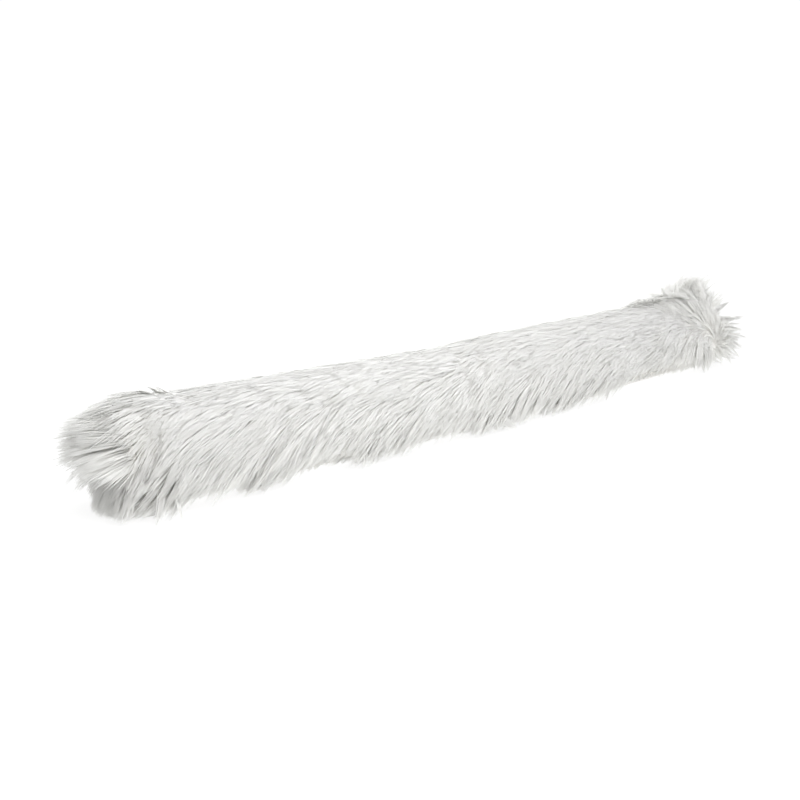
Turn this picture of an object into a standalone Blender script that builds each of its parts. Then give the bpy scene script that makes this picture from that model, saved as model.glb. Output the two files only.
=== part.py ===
"""Draught excluder: a filled tube of white long-pile fur fabric, closed by a fur round at each end.

The tube lies along X on the floor at z = 0, with its near end at -X, its front foot at -Y and +Z up.
Its pile is laid towards -X on top and sweeps down and towards -X at both sides. It is drawn as low
overlapping locks in the skin, as locks that hang along both feet, and as locks that stand past both ends.
"""

import math
import random

import bmesh
import bpy
import numpy as np
from mathutils import Vector

# Driving dimensions, in metres and degrees
FABRIC_LENGTH = 0.900
SEAT_HALF_WIDTH = 0.026
CENTRE_SHARE = 0.47
SEAM_GAP = 0.0003
STATIONS = 84
COLUMNS = 42
SKIN_RADIUS = 0.052

# The tube's sections from the near end to the far one: x is a share of half the length,
# side is how far the bow carries the section back from a straight line.
SECTIONS = (
    # x, half_width, height, side
    (-1.000, 0.0430, 0.0900, 0.006),
    (-0.975, 0.0500, 0.0985, 0.006),
    (-0.940, 0.0530, 0.1010, 0.005),
    (-0.800, 0.0530, 0.0965, 0.003),
    (-0.530, 0.0530, 0.0940, 0.001),
    (-0.270, 0.0525, 0.0930, -0.002),
    (-0.100, 0.0520, 0.0925, -0.003),
    (0.130, 0.0520, 0.0955, -0.003),
    (0.400, 0.0515, 0.0960, -0.001),
    (0.670, 0.0500, 0.0960, 0.004),
    (0.850, 0.0490, 0.0960, 0.007),
    (0.930, 0.0485, 0.1020, 0.008),
    (0.975, 0.0470, 0.1060, 0.008),
    (1.000, 0.0400, 0.0920, 0.008),
)

# Laid locks of pile in the skin
LAID_LENGTH = 0.062
LAID_WIDTH = 0.024
LAID_HEIGHT = 0.0066
LAID_STEP_ALONG = 0.031
LAID_STEP_AROUND = 0.0175
LAID_HALF_ARC = 0.112
FLOW_AT_TOP = 8
FLOW_AT_FOOT = 66
FOOT_ARC = 0.100
SEED = 11

# Dents between clumps of pile, each from one place on the skin to another: x is in metres from the
# middle, arc is the way round from the top, less than zero at the front.
DENTS = (
    # x_from, arc_from, x_to, arc_to, depth, half_width
    (-0.283, -0.058, -0.353, -0.104, 0.0050, 0.010),
    (-0.231, -0.049, -0.294, -0.090, 0.0045, 0.009),
    (-0.405, -0.040, -0.440, -0.070, 0.0040, 0.012),
    (0.335, -0.034, 0.415, -0.072, 0.0045, 0.009),
    (-0.300, 0.000, -0.270, -0.012, 0.0025, 0.008),
)

# The crease round the middle, where the excluder has been folded
CREASE_X = -0.045
CREASE_DEPTH = 0.0032
CREASE_HALF_WIDTH = 0.012
CREASE_LEAN = 0.10

# The raised flap of pile on top near the far end, its tip towards -X
FLAP_TIP_X = 0.270
FLAP_ROOT_X = 0.425
FLAP_ARC = 0.006
FLAP_HALF_WIDTH = 0.026
FLAP_HEIGHT = 0.011

# Locks along the feet: each row of the table holds from one x to the next one's
FOOT_LOCKS = (
    # x_from, front_length, back_length
    (-0.450, 0.036, 0.028),
    (-0.360, 0.028, 0.024),
    (-0.100, 0.024, 0.024),
    (0.020, 0.026, 0.022),
    (0.245, 0.000, 0.020),
    (0.400, 0.022, 0.018),
)
FOOT_ROOT_HEIGHT = 0.027
FOOT_EVERY = 2
FOOT_LOCK_STAND = 0.0090
LOCK_REST = 0.0012

# A lock's width at three places along it, as shares of its root: full at first, then a fine tip
FOOT_LOCK_SHARES = (0.90, 0.72, 0.07)
NEAR_LOCK_SHARES = (0.84, 0.56, 0.07)
FAR_RIM_LOCK_SHARES = (1.00, 0.85, 0.10)
FAR_ROUND_LOCK_SHARES = (0.86, 0.62, 0.08)

# Locks that stand off the top near the far end, where the pile has been pushed up
STRAY_LOCKS = (
    # x, turn, length, lean_to_near, lean_back
    (0.362, 0.50, 0.026, 1.10, 0.10),
    (0.384, 0.53, 0.019, 0.30, 0.10),
    (0.408, 0.49, 0.022, 0.00, 0.00),
)

STRAY_STAND = 0.006

# Locks round the tube's own rims and on the end rounds. The near pile runs on past the end and
# droops. The far pile stands up and out in a crown.
PILE_AT_ENDS = {
    # way: (length, flare at the foot, flare at the top, droop)
    -1: (0.038, 0.30, 0.22, 0.50),
    1: (0.034, 0.40, 0.95, 0.02),
}
RIM_EVERY = 2
RIM_LOWEST = 0.012
ROUND_COLUMNS = 26
ROUND_DEPTH = 0.007
ROUND_SHARE = 0.92
ROUND_LOW_PILE = 0.55
ROUND_FLARE = 0.80

FUR_WHITE = (0.80, 0.80, 0.77, 1.0)
FUR_SHADE = (0.66, 0.65, 0.62, 1.0)


def fur_material(name, colour):
    material = bpy.data.materials.new(name)
    material.use_nodes = True
    shader = material.node_tree.nodes["Principled BSDF"]
    shader.inputs["Base Color"].default_value = colour
    shader.inputs["Roughness"].default_value = 0.85
    shader.inputs["Metallic"].default_value = 0.0
    return material


def smooth_step(value):
    value = np.clip(value, 0, 1)
    return value * value * (3 - 2 * value)


def section_sizes(x):
    """Half width, height and side shift of the tube at x, read smoothly from its table."""
    table = np.array(SECTIONS)
    share = x / (FABRIC_LENGTH / 2)
    row = min(int(np.searchsorted(table[:, 0], share, side="right")) - 1, len(table) - 2)
    part = (share - table[row, 0]) / (table[row + 1, 0] - table[row, 0])
    return table[row, 1:] + (table[row + 1, 1:] - table[row, 1:]) * smooth_step(part)


def section_point(half_width, height, side, turn):
    """A point of the section and its outward direction: turn is 0 at the front contact, 1 at the back one."""
    seat = min(SEAT_HALF_WIDTH, 0.75 * half_width)
    centre = CENTRE_SHARE * height
    contact = math.acos(seat / half_width)
    angle = -contact + turn * (math.pi + 2 * contact)
    upright = height - centre if math.sin(angle) > 0 else centre / math.sin(contact)
    point = Vector((0, side - half_width * math.cos(angle), centre + upright * math.sin(angle)))
    outward = Vector((0, -math.cos(angle) / half_width, math.sin(angle) / upright)).normalized()
    return point, outward, angle


def flow_angle(arc):
    """How far the pile turns from lengthwise towards the floor at this way round from the top."""
    share = smooth_step(np.abs(arc) / FOOT_ARC)
    return np.radians(FLOW_AT_TOP + (FLOW_AT_FOOT - FLOW_AT_TOP) * share)


def laid_locks():
    """Root place, direction, length and width of each lock laid in the skin, in staggered rows."""
    dice = random.Random(SEED)
    rows = int(LAID_HALF_ARC / LAID_STEP_AROUND)
    count = int(FABRIC_LENGTH / LAID_STEP_ALONG) + 2
    locks = []
    for row in range(-rows, rows + 1):
        for step in range(count):
            x = -FABRIC_LENGTH / 2 + (step + 0.5 * (row % 2)) * LAID_STEP_ALONG
            x += dice.uniform(-0.25, 0.25) * LAID_STEP_ALONG
            arc = (row + dice.uniform(-0.25, 0.25)) * LAID_STEP_AROUND
            angle = float(flow_angle(arc)) + dice.uniform(-0.14, 0.14)
            way = (-math.cos(angle), math.copysign(math.sin(angle), arc))
            size = dice.uniform(0.75, 1.25)
            locks.append((x, arc, way[0], way[1], LAID_LENGTH * size, LAID_WIDTH * size))
    return np.array(locks)


def laid_relief(x, arc, locks):
    """Height of the laid locks over the skin: each rises from root to tip and overlaps the next."""
    from_root = np.stack([x - locks[:, 0], arc - locks[:, 1]])
    along = (from_root[0] * locks[:, 2] + from_root[1] * locks[:, 3]) / locks[:, 4]
    across = (from_root[0] * locks[:, 3] - from_root[1] * locks[:, 2]) / (locks[:, 5] / 2)
    rise = smooth_step(along / 0.75) * smooth_step((1 - along) / 0.18)
    ridge = np.clip(1 - across * across * (1 + 0.6 * np.clip(along, 0, 1)), 0, 1)
    return LAID_HEIGHT * float((rise * ridge).max())


def dent_depth(x, arc):
    total = 0.0
    for x_from, arc_from, x_to, arc_to, depth, half_width in DENTS:
        run = np.array([x_to - x_from, arc_to - arc_from])
        offset = np.array([x - x_from, arc - arc_from])
        share = float(np.clip(offset @ run / (run @ run), 0, 1))
        distance = float(np.linalg.norm(offset - share * run))
        total += depth * float(smooth_step(1 - distance / half_width))
    return total


def crease_depth(x, arc):
    distance = abs(x - CREASE_X - CREASE_LEAN * arc)
    return CREASE_DEPTH * float(smooth_step(1 - distance / CREASE_HALF_WIDTH))


def flap_height(x, arc):
    share = (x - FLAP_TIP_X) / (FLAP_ROOT_X - FLAP_TIP_X)
    rise = float(smooth_step(share / 0.14) * smooth_step((1 - share) / 0.6))
    return FLAP_HEIGHT * rise * float(smooth_step(1.4 - 1.4 * abs(arc - FLAP_ARC) / FLAP_HALF_WIDTH))


def skin_point(x, turn, locks):
    """The tube's surface at x and turn, with its relief, and its outward direction."""
    half_width, height, side = section_sizes(x)
    point, outward, angle = section_point(half_width, height, side, turn)
    arc = SKIN_RADIUS * (angle - math.pi / 2)
    relief = laid_relief(x, arc, locks) + flap_height(x, arc)
    relief -= dent_depth(x, arc) + crease_depth(x, arc) + LAID_HEIGHT / 2
    clear_of_floor = float(smooth_step((point.z - 0.004) / 0.014))
    clear_of_ends = float(smooth_step((FABRIC_LENGTH / 2 - abs(x)) / 0.02))
    return Vector((x, 0, 0)) + point + outward * relief * clear_of_floor * clear_of_ends, outward


def draw_lock(bm, face, path, shares):
    """Draws one face of a skin out along a path into a lock: four sides, and at last a fine tip."""
    centre = face.calc_center_median()
    normal = face.normal.copy()
    ring = [vert.co - centre for vert in face.verts]
    before = centre
    for place, share in zip(path, shares):
        turned = normal.rotation_difference(place - before)
        face = bmesh.ops.extrude_discrete_faces(bm, faces=[face])["faces"][0]
        for vert, offset in zip(face.verts, ring):
            vert.co = place + (turned @ offset) * share
        before = place


def foot_lengths(x):
    row = [row for row in FOOT_LOCKS if row[0] <= x][-1]
    return row[1], row[2]


def foot_path(root, outward, length, dice):
    """A lock's way from its root at the side of the tube down to the floor, where its tip lies level."""
    reach = dice.uniform(0.66, 1.0)
    out = Vector((0, math.copysign(1, outward.y), 0))
    drop = root.z - LOCK_REST
    path = []
    for share in (0.22, 0.62, 1.0):
        part = share * reach
        place = root + out * FOOT_LOCK_STAND * min(1.0, 5 * part)
        place += Vector((-length * part, 0, -drop * (0.7 * part + 0.3 * part * part)))
        path.append(place)
    return path


def end_path(root, way, outward, dice):
    """A lock's way past the end of the tube: straight out at first, then flaring and drooping."""
    length, low_flare, high_flare, droop = PILE_AT_ENDS[way]
    reach = dice.uniform(0.72, 1.12)
    flare = low_flare + (high_flare - low_flare) * float(smooth_step(root.z / 0.08))
    heading = Vector((way, 0, 0)) * (1 - 0.45 * flare)
    path = []
    for share in (0.28, 0.64, 1.0):
        part = share * reach
        place = root + (heading * part + outward * flare * part * (0.4 + 0.6 * part)) * length
        place.z -= droop * length * part * part
        place.z = max(place.z, LOCK_REST + 0.0045 * (1 - share))
        path.append(place)
    return path


def make_fur_tube(locks):
    bm = bmesh.new()
    places = [FABRIC_LENGTH * (station / STATIONS - 0.5) for station in range(STATIONS + 1)]
    rings = []
    for x in places:
        ring = [skin_point(x, column / COLUMNS, locks)[0] for column in range(COLUMNS + 1)]
        rings.append([bm.verts.new(point) for point in ring])
    quads = {}
    for station in range(STATIONS):
        for column in range(COLUMNS):
            here, there = rings[station], rings[station + 1]
            corners = (here[column], here[column + 1], there[column + 1], there[column])
            quads[station, column] = bm.faces.new(corners)
        bm.faces.new((here[COLUMNS], here[0], there[0], there[COLUMNS]))
    bm.faces.new(reversed(rings[0]))
    bm.faces.new(rings[-1])
    bmesh.ops.recalc_face_normals(bm, faces=bm.faces)
    bm.normal_update()
    add_foot_locks(bm, quads)
    add_rim_locks(bm, quads, 0, -1)
    add_rim_locks(bm, quads, STATIONS - 1, 1)
    add_stray_locks(bm, quads)
    return piece_from(bm, "fur_tube", fur_material("white_fur", FUR_WHITE))


def add_foot_locks(bm, quads):
    dice = random.Random(SEED + 1)
    columns = range(COLUMNS // 2)
    middle = {column: quads[STATIONS // 2, column].calc_center_median().z for column in columns}
    foot = min(middle, key=lambda column: abs(middle[column] - FOOT_ROOT_HEIGHT))
    for station in range(2, STATIONS - 2, FOOT_EVERY):
        row = foot + station // FOOT_EVERY % 2
        for column, side in ((row, 0), (COLUMNS - 1 - row, 1)):
            face = quads[station, column]
            root = face.calc_center_median()
            length = foot_lengths(root.x)[side]
            if length > 0:
                path = foot_path(root, face.normal, length, dice)
                draw_lock(bm, face, path, FOOT_LOCK_SHARES)


def add_rim_locks(bm, quads, station, way):
    dice = random.Random(SEED + 2 + way)
    for column in range(1, COLUMNS - 1, RIM_EVERY):
        face = quads[station, column]
        root = face.calc_center_median()
        if root.z > RIM_LOWEST:
            outward = Vector((0, face.normal.y, face.normal.z)).normalized()
            shares = NEAR_LOCK_SHARES if way < 0 else FAR_RIM_LOCK_SHARES
            draw_lock(bm, face, end_path(root, way, outward, dice), shares)


def add_stray_locks(bm, quads):
    for x, turn, length, lean_to_near, lean_back in STRAY_LOCKS:
        station = int((x / FABRIC_LENGTH + 0.5) * STATIONS)
        face = quads[station, int(turn * COLUMNS)]
        root = face.calc_center_median()
        start = root + face.normal * STRAY_STAND
        heading = Vector((-lean_to_near, lean_back, 1)).normalized() * length
        draw_lock(bm, face, (start, start + heading * 0.5, start + heading), NEAR_LOCK_SHARES)


def make_end_round(name, way):
    """A round of fur sewn into an end: way is -1 at the near end and 1 at the far one."""
    bm = bmesh.new()
    half_width, height, side = section_sizes(way * FABRIC_LENGTH / 2)
    seam = way * (FABRIC_LENGTH / 2 + SEAM_GAP)
    middle = Vector((0, side, height / 2))
    outline = []
    for column in range(ROUND_COLUMNS):
        turn = (column + 0.5) / ROUND_COLUMNS
        outline.append(section_point(half_width, height, side, turn)[0] - middle)
    rings = []
    for share, depth in ((1, 0), (1, 0.55), (0.80, 1), (0.42, 1.5)):
        x = seam + way * ROUND_DEPTH * depth
        ring = [Vector((x, 0, 0)) + middle + point * ROUND_SHARE * share for point in outline]
        rings.append([bm.verts.new(point) for point in ring])
    bands = []
    for inner, outer in zip(rings[1:], rings[:-1]):
        band = []
        for column in range(ROUND_COLUMNS):
            after = (column + 1) % ROUND_COLUMNS
            corners = (outer[column], outer[after], inner[after], inner[column])
            band.append(bm.faces.new(corners))
        bands.append(band)
    bm.faces.new(rings[0])
    bm.faces.new(reversed(rings[-1]))
    bmesh.ops.recalc_face_normals(bm, faces=bm.faces)
    bm.normal_update()
    shares = NEAR_LOCK_SHARES if way < 0 else FAR_ROUND_LOCK_SHARES
    dice = random.Random(SEED + 6 + way)
    for band, first in ((bands[1], 0), (bands[2], 1)):
        for face in band[first:ROUND_COLUMNS:2]:
            root = face.calc_center_median()
            outward = (root - middle - Vector((root.x, 0, 0))) / half_width * ROUND_FLARE
            path = end_path(root, way, outward, dice)
            low = ROUND_LOW_PILE + (1 - ROUND_LOW_PILE) * float(smooth_step(root.z / 0.045))
            draw_lock(bm, face, [root.lerp(place, low) for place in path], shares)
    return piece_from(bm, name, fur_material(name + "_fur", FUR_SHADE if way < 0 else FUR_WHITE))


def piece_from(bm, name, material):
    mesh = bpy.data.meshes.new(name)
    bm.to_mesh(mesh)
    bm.free()
    mesh.materials.append(material)
    mesh.shade_smooth()
    piece = bpy.data.objects.new(name, mesh)
    bpy.context.collection.objects.link(piece)
    return piece


def centre_on_floor(pieces):
    """Moves the pieces together so that the middle of the base of their common box is the origin."""
    corners = np.array([vert.co for piece in pieces for vert in piece.data.vertices])
    middle = (corners.min(axis=0) + corners.max(axis=0)) / 2
    for piece in pieces:
        for vert in piece.data.vertices:
            vert.co -= Vector((middle[0], middle[1], 0))


def main():
    for obj in list(bpy.data.objects):
        bpy.data.objects.remove(obj, do_unlink=True)
    pieces = [
        make_fur_tube(laid_locks()),
        make_end_round("near_end_round", -1),
        make_end_round("far_end_round", 1),
    ]
    centre_on_floor(pieces)


main()
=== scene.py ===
# %% [markdown]
# # A draught excluder in long-pile fur
# The real thing is a sausage of fibre filling in a sleeve of white acrylic fur, closed by a round of the
# same fur at each end. It is laid along the foot of a door. The steps here are: the camera, the filled
# skin, the way the pile is combed, the pile itself, and then the floor and the light.

# %% Load the frame that every piece is fitted to
import math

import bmesh
import bpy
import numpy as np
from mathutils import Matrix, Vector
from mathutils.bvhtree import BVHTree


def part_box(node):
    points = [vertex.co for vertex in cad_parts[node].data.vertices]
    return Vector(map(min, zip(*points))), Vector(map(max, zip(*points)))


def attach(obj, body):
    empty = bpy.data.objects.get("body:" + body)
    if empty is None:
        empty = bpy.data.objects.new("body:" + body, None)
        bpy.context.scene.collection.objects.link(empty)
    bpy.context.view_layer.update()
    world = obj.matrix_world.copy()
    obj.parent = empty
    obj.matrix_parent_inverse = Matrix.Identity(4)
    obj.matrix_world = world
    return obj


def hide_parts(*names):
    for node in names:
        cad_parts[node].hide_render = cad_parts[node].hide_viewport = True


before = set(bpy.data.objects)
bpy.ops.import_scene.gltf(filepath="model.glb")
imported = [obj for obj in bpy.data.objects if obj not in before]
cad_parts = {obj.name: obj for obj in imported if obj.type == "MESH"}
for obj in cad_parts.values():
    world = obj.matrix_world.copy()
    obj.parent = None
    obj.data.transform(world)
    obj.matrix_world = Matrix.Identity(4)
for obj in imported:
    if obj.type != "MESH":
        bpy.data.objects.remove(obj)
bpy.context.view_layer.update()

# %% [markdown]
# ## Where the fabric starts and ends
# The frame gives each solid's box. The seams are at the backs of the two end rounds, and the flat strip
# that the tube lies on gives the line of its slight bow. All other sizes are worked out from these.

# %% Seams and middle line, read from the frame
SEAM_GAP = 0.0003
NEAR_SEAM_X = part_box("near_end_round")[1].x + SEAM_GAP
FAR_SEAM_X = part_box("far_end_round")[0].x - SEAM_GAP
MIDDLE_X = (NEAR_SEAM_X + FAR_SEAM_X) / 2
HALF_LENGTH = (FAR_SEAM_X - NEAR_SEAM_X) / 2

# The solid's sections, and how far the bow carries each one back from a straight line
SECTIONS = np.array((
    # x_share, half_width, height, side
    (-1.000, 0.0430, 0.0900, 0.006),
    (-0.975, 0.0500, 0.0985, 0.006),
    (-0.940, 0.0530, 0.1010, 0.005),
    (-0.800, 0.0530, 0.0965, 0.003),
    (-0.530, 0.0530, 0.0940, 0.001),
    (-0.270, 0.0525, 0.0930, -0.002),
    (-0.100, 0.0520, 0.0925, -0.003),
    (0.130, 0.0520, 0.0955, -0.003),
    (0.400, 0.0515, 0.0960, -0.001),
    (0.670, 0.0500, 0.0960, 0.004),
    (0.850, 0.0490, 0.0960, 0.007),
    (0.930, 0.0485, 0.0990, 0.008),
    (0.975, 0.0470, 0.0990, 0.008),
    (1.000, 0.0400, 0.0900, 0.008),
))
MIDDLE_SIDE = -0.003


def strip_middle(solid, x, half_length):
    """Middle of the flat strip under a solid, read from the points that lie on the floor near x."""
    sides = [v.co.y for v in solid.data.vertices if v.co.z < 1e-5 and abs(v.co.x - x) < half_length]
    return (min(sides) + max(sides)) / 2


LINE_Y = strip_middle(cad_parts["fur_tube"], MIDDLE_X, 0.02) - MIDDLE_SIDE
print("seams at", round(NEAR_SEAM_X, 4), "and", round(FAR_SEAM_X, 4))
print("line of the bow at", round(LINE_Y, 4))

# %% [markdown]
# ## The camera
# The photograph looks down a little on the near end and along the tube, so the tube shrinks to the
# right. The lens, angles and distance were found by fitting a plain tube's outline to the picture.

# %% Camera
VIEW_TURN = 42.3
VIEW_DOWN = 14.3
VIEW_DISTANCE = 1.188
VIEW_TARGET = Vector((MIDDLE_X - 0.119, LINE_Y, 0.047))
LENS_MM = 50


def make_camera():
    turn, down = math.radians(VIEW_TURN), math.radians(VIEW_DOWN)
    back = Vector((-math.sin(turn) * math.cos(down), -math.cos(turn) * math.cos(down), math.sin(down)))
    camera = bpy.data.objects.new("camera", bpy.data.cameras.new("camera"))
    camera.location = VIEW_TARGET + back * VIEW_DISTANCE
    camera.rotation_euler = back.to_track_quat("Z", "Y").to_euler()
    camera.data.lens = LENS_MM
    bpy.context.scene.collection.objects.link(camera)
    bpy.context.scene.camera = camera
    return camera


camera = make_camera()
print("camera at", [round(value, 3) for value in camera.location])

# %% [markdown]
# ## Small helpers
# One function turns an sRGB hex value, as a paint chart gives it, into the linear colour that shaders
# add up in. One function adds a node, sets it up and links it, for shaders and Geometry Nodes alike.

# %% Colour and node helpers
MATH = "ShaderNodeMath"
VECTOR = "ShaderNodeVectorMath"
SPLIT = "ShaderNodeSeparateXYZ"
RANGE = "ShaderNodeMapRange"
NAMED = "GeometryNodeInputNamedAttribute"
STORE = "GeometryNodeStoreNamedAttribute"
JOIN = "ShaderNodeCombineXYZ"
SCATTER = "GeometryNodeDistributePointsOnFaces"


def linear(hex_value, alpha=1.0):
    channels = [int(hex_value[i:i + 2], 16) / 255 for i in (1, 3, 5)]
    return [c / 12.92 if c <= 0.04045 else ((c + 0.055) / 1.055) ** 2.4 for c in channels] + [alpha]


def add(tree, kind, inputs=(), **settings):
    """Adds a node. Settings are its own properties. Each input, by its place or its name, is a value, a
    socket to link or a whole node, which then stands for its first output."""
    node = tree.nodes.new(kind)
    for name, value in settings.items():
        setattr(node, name, value)
    for key, value in inputs.items() if isinstance(inputs, dict) else enumerate(inputs):
        if isinstance(value, bpy.types.Node):
            value = value.outputs[0]
        if isinstance(value, bpy.types.NodeSocket):
            tree.links.new(value, node.inputs[key])
        else:
            node.inputs[key].default_value = value
    return node


def smooth_step(value):
    value = np.clip(value, 0, 1)
    return value * value * (3 - 2 * value)


# %% [markdown]
# ## Acrylic fur
# The pile is brushed acrylic: fine, soft, slightly glossy fibres that scatter light many times between
# them, so the mass looks bright and almost shadowless. A Principled shader with acrylic's IOR of 1.49
# and a high, faintly warm white does it. Fibres are cooler and lighter at the tip and warmer at the
# root, and each lock differs a little. The pile's own attributes drive this, so it stays with the hair.

# %% Material: brushed acrylic fur
FIBRE_ROOT = "#F4F3EE"
FIBRE_BODY = "#F6F6F2"
FIBRE_TIP = "#F8F8F4"
BODY_FROM = 0.45
DARKEST_LOCK = 0.985
ACRYLIC_IOR = 1.49
FIBRE_ROUGHNESS = 0.62
SILKY_SHEEN = 0.15
LIGHT_SPREAD = 0.0005


def make_fur_material():
    material = bpy.data.materials.new("brushed acrylic fur")
    material.use_nodes = True
    tree = material.node_tree
    tree.nodes.clear()
    along = add(tree, "ShaderNodeAttribute", attribute_name="along")
    lock = add(tree, "ShaderNodeAttribute", attribute_name="lock_shade")
    ramp = add(tree, "ShaderNodeValToRGB", {"Fac": along.outputs["Fac"]})
    ramp.color_ramp.elements[0].color = linear(FIBRE_ROOT)
    ramp.color_ramp.elements[1].color = linear(FIBRE_TIP)
    ramp.color_ramp.elements.new(BODY_FROM).color = linear(FIBRE_BODY)
    tint = add(tree, RANGE, {"Value": lock.outputs["Fac"], "To Min": DARKEST_LOCK, "To Max": 1.0})
    shade = add(tree, "ShaderNodeMix", {0: 1.0, 6: ramp, 7: tint}, data_type="RGBA", blend_type="MULTIPLY")
    shader = add(tree, "ShaderNodeBsdfPrincipled", {
        "Base Color": shade.outputs[2], "Roughness": FIBRE_ROUGHNESS, "IOR": ACRYLIC_IOR,
        "Sheen Weight": SILKY_SHEEN, "Subsurface Weight": 1.0, "Subsurface Radius": (1.0, 1.0, 1.0),
        "Subsurface Scale": LIGHT_SPREAD})
    add(tree, "ShaderNodeOutputMaterial", (shader,))
    print("material", material.name, "with", len(tree.nodes), "nodes")
    return material


# %% [markdown]
# ## Knitted backing
# Under the pile is the knitted backing that the fibres are locked into. It shows only where the pile
# parts, as a duller white, so it gets a fine knit bump: about one loop each 1.5 mm.

# %% Material: knitted backing
BACKING_LIGHT = "#EFEEEA"
BACKING_DARK = "#E0DEDA"
KNIT_LOOP_MM = 1.5
KNIT_DEPTH_MM = 0.5
KNIT_STRENGTH = 0.4


def make_backing_material():
    material = bpy.data.materials.new("knitted backing")
    material.use_nodes = True
    tree = material.node_tree
    tree.nodes.clear()
    place = add(tree, "ShaderNodeTexCoord")
    loops = add(tree, "ShaderNodeTexVoronoi", {
        "Vector": place.outputs["Object"], "Scale": 1000 / KNIT_LOOP_MM})
    colour = add(tree, "ShaderNodeValToRGB", (loops,))
    colour.color_ramp.elements[0].color = linear(BACKING_LIGHT)
    colour.color_ramp.elements[1].color = linear(BACKING_DARK)
    bump = add(tree, "ShaderNodeBump", {
        "Height": loops, "Strength": KNIT_STRENGTH, "Distance": KNIT_DEPTH_MM / 1000})
    shader = add(tree, "ShaderNodeBsdfPrincipled", {
        "Base Color": colour, "Normal": bump, "Roughness": 0.9, "Sheen Weight": 0.2})
    add(tree, "ShaderNodeOutputMaterial", (shader,))
    print("material", material.name, "with", len(tree.nodes), "nodes")
    return material


FUR = make_fur_material()
BACKING = make_backing_material()

# %% [markdown]
# ## The filled skin
# The sleeve under the pile is a padded tube. Its sections are the solid's own, drawn in a little, so
# that skin and laid pile together fill the solid. It could be a plain loft, but filling pushes cloth out
# unevenly and puckers it at the seams, so cloth simulation with a little pressure swells a slightly
# smaller loft, as in a real stuffed toy.

# %% Sizes of the skin
SKIN_INSET = 0.0005
SEAT_HALF_WIDTH = 0.008
CENTRE_SHARE = 0.47
SKIN_LOWEST = 0.0040
SKIN_RADIUS = 0.052
SKIN_STATIONS = 120
SKIN_COLUMNS = 48
VOXEL = 0.0065
SWELL_ROOM = 0.0010
MOST_SWELL = 0.002
SWELL_FRAMES = 20
SWELL_PRESSURE = 4.0


def section_sizes(x):
    """Half width, height and middle of the section at x, read smoothly from the table."""
    share = min(max((x - MIDDLE_X) / HALF_LENGTH, -1), 1)
    row = min(int(np.searchsorted(SECTIONS[:, 0], share, side="right")) - 1, len(SECTIONS) - 2)
    part = (share - SECTIONS[row, 0]) / (SECTIONS[row + 1, 0] - SECTIONS[row, 0])
    sizes = SECTIONS[row, 1:] + (SECTIONS[row + 1, 1:] - SECTIONS[row, 1:]) * smooth_step(part)
    return sizes[0], sizes[1], sizes[2] + LINE_Y


def skin_section(x, inset):
    """Points of the skin's section at x, from the front floor contact over the top to the back one."""
    half_width, height, middle = section_sizes(x)
    half_width, height = half_width - inset, height - inset
    centre = CENTRE_SHARE * height
    contact = math.acos(min(SEAT_HALF_WIDTH / half_width, 0.8))
    points = []
    for column in range(SKIN_COLUMNS + 1):
        angle = -contact + column / SKIN_COLUMNS * (math.pi + 2 * contact)
        upright = height - centre if math.sin(angle) > 0 else (centre - SKIN_LOWEST) / math.sin(contact)
        z = centre + upright * math.sin(angle)
        points.append(Vector((x, middle - half_width * math.cos(angle), z)))
    return points


def loft(name, rings):
    """A closed mesh through rings of points, with a flat cap at each end."""
    bm = bmesh.new()
    rows = [[bm.verts.new(point) for point in ring] for ring in rings]
    for here, there in zip(rows[:-1], rows[1:]):
        for column in range(len(here)):
            after = (column + 1) % len(here)
            bm.faces.new((here[column], here[after], there[after], there[column]))
    bm.faces.new(reversed(rows[0]))
    bm.faces.new(rows[-1])
    bmesh.ops.recalc_face_normals(bm, faces=bm.faces)
    mesh = bpy.data.meshes.new(name)
    bm.to_mesh(mesh)
    bm.free()
    piece = bpy.data.objects.new(name, mesh)
    bpy.context.scene.collection.objects.link(piece)
    return piece


def use_modifiers(piece):
    """Replaces a piece's mesh by the mesh that its modifiers make, and removes them."""
    graph = bpy.context.evaluated_depsgraph_get()
    graph.update()
    mesh = bpy.data.meshes.new_from_object(piece.evaluated_get(graph), depsgraph=graph)
    piece.modifiers.clear()
    piece.data = mesh
    return piece


# %% Swell the skin with cloth pressure
def swell(piece):
    """Fills a piece like a cushion: remesh, cloth pressure for a few frames, and a cap on each move."""
    remesh = piece.modifiers.new("remesh", "REMESH")
    remesh.mode = "VOXEL"
    remesh.voxel_size = VOXEL
    use_modifiers(piece)
    before = np.array([vert.co for vert in piece.data.vertices])
    cloth = piece.modifiers.new("cloth", "CLOTH")
    cloth.settings.use_pressure = True
    cloth.settings.uniform_pressure_force = SWELL_PRESSURE
    cloth.settings.effector_weights.gravity = 0
    cloth.point_cache.frame_end = SWELL_FRAMES
    for moment in range(1, SWELL_FRAMES + 1):
        bpy.context.scene.frame_set(moment)
        bpy.context.view_layer.update()
    use_modifiers(piece)
    bpy.context.scene.frame_set(1)
    after = np.array([vert.co for vert in piece.data.vertices])
    move = after - before
    far = np.linalg.norm(move, axis=1, keepdims=True)
    after = before + move * np.minimum(1, MOST_SWELL / np.maximum(far, 1e-9))
    after[:, 2] = np.maximum(after[:, 2], SKIN_LOWEST / 2)
    piece.data.vertices.foreach_set("co", after.ravel())
    print("swelled", piece.name, "by up to", round(float(far.max()) * 1000, 1), "mm before the cap")
    return piece


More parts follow.
